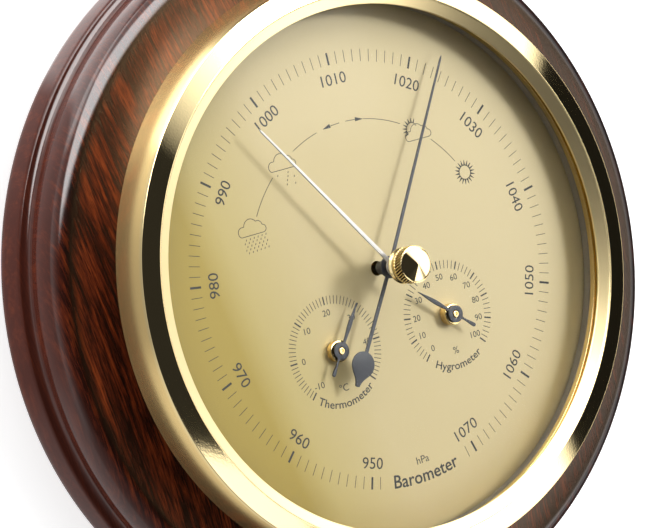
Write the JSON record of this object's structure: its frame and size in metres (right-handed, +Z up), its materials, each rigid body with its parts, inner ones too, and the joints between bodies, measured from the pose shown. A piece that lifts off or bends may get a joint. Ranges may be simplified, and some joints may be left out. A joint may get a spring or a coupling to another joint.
{
  "type": "barometer",
  "caption": "Round wall barometer: turned wood case, brass bezel, domed glass, dial with thermometer and hygrometer, brass set hand and knob, aneroid movement inside.",
  "frame": {"origin": "centre of the back, in the plane that lies against the wall", "axes": "+Z up, the dial faces -Y, +X to the right as the dial is read, +Y into the wall"},
  "size_m": [0.1692, 0.0419, 0.1692],
  "materials": {
    "stained_wood": "dark stain, glossy lacquer",
    "polished_brass": "polished",
    "dial_gold": "gold lacquer, brushed in circles, printed",
    "clear_glass": "clear",
    "grey_plastic": "moulded",
    "zinc_steel": "zinc plated",
    "plain_brass": "turned and stamped, satin",
    "nickel_silver": "pressed sheet, satin",
    "blued_steel": "satin",
    "bright_steel": "turned, bright",
    "white_paint": "satin",
    "bimetal": "rolled strip"
  },
  "bodies": {
    "case": {"wood_case": "stained_wood", "bezel_ring": "polished_brass", "glass_dome": "clear_glass", "glass_retaining_ring": "polished_brass", "dial_spacer_ring": "grey_plastic", "dial_plate": "dial_gold", "movement_pot": "zinc_steel", "flange_screw_1": "bright_steel", "flange_screw_2": "bright_steel", "flange_screw_3": "bright_steel", "base_plate": "plain_brass", "base_foot_left": "plain_brass", "base_foot_right": "plain_brass", "base_foot_lower": "plain_brass", "dial_post_left": "plain_brass", "dial_post_right": "plain_brass", "pillar_1": "plain_brass", "pillar_2": "plain_brass", "pillar_3": "plain_brass", "train_plate": "plain_brass", "top_plate": "plain_brass", "aneroid_capsule": "nickel_silver", "capsule_nut": "bright_steel", "rocker_bearing_lower": "plain_brass", "rocker_bearing_upper": "plain_brass", "hairspring": "blued_steel", "hairspring_stud": "plain_brass", "glass_ferrule": "plain_brass", "thermometer_bush": "plain_brass", "thermometer_coil": "bimetal", "thermometer_bracket": "plain_brass", "hygrometer_bush": "plain_brass", "hygrometer_coil": "bimetal", "hygrometer_bracket": "plain_brass"},
    "set_hand_and_knob": {"knob": "polished_brass", "knob_spindle": "plain_brass", "set_hand": "white_paint"},
    "barometer_hand_and_pinion": {"pinion_arbor": "bright_steel", "barometer_hand": "blued_steel", "barometer_hand_hub": "plain_brass"},
    "sector": {"toothed_sector": "plain_brass", "sector_arbor": "bright_steel"},
    "lever": {"rocking_lever": "bright_steel"},
    "stud": {"capsule_stud": "bright_steel"},
    "thermometer_pointer": {"thermometer_hand": "blued_steel", "thermometer_shaft": "plain_brass"},
    "hygrometer_pointer": {"hygrometer_hand": "blued_steel", "hygrometer_shaft": "plain_brass"},
    "zero_screw": {"adjusting_screw": "bright_steel"}
  },
  "joints": [
    {"name": "set_hand_turn", "type": "hinge", "parent": "case", "child": "set_hand_and_knob", "pos_m": [0, 0, 0], "axis": [0, 1, 0], "continuous": true},
    {"name": "barometer_hand_turn", "type": "hinge", "parent": "case", "child": "barometer_hand_and_pinion", "pos_m": [0, 0, 0], "axis": [0, 1, 0], "range_deg": [-198.7, 130.7]},
    {"name": "sector_swing", "type": "hinge", "parent": "case", "child": "sector", "pos_m": [0, 0, 0.026], "axis": [0, 1, 0], "range_deg": [-10.9, 16.6]},
    {"name": "lever_rock", "type": "hinge", "parent": "case", "child": "lever", "pos_m": [0.002, -0.013, 0], "axis": [0, 0, 1], "range_deg": [-8.8, 13.3]},
    {"name": "capsule_travel", "type": "slide", "parent": "case", "child": "stud", "axis": [0, 1, 0], "range_m": [-0.00047, 0.00031]},
    {"name": "thermometer_turn", "type": "hinge", "parent": "case", "child": "thermometer_pointer", "pos_m": [-0.01635, 0, -0.01505], "axis": [0, 1, 0], "range_deg": [-171.9, 98.1]},
    {"name": "hygrometer_turn", "type": "hinge", "parent": "case", "child": "hygrometer_pointer", "pos_m": [0.01635, 0, -0.01505], "axis": [0, 1, 0], "range_deg": [-84.9, 185.1]},
    {"name": "zero_screw_turn", "type": "hinge", "parent": "case", "child": "zero_screw", "pos_m": [0, 0, -0.0223], "axis": [0, 1, 0], "range_deg": [-360, 360]}
  ],
  "couplings": [
    {"joint": "sector_swing", "follows": "barometer_hand_turn", "ratio": -0.083333},
    {"joint": "lever_rock", "follows": "barometer_hand_turn", "ratio": -0.066667},
    {"joint": "capsule_travel", "follows": "barometer_hand_turn", "m_per_rad": 0.00013333}
  ]
}
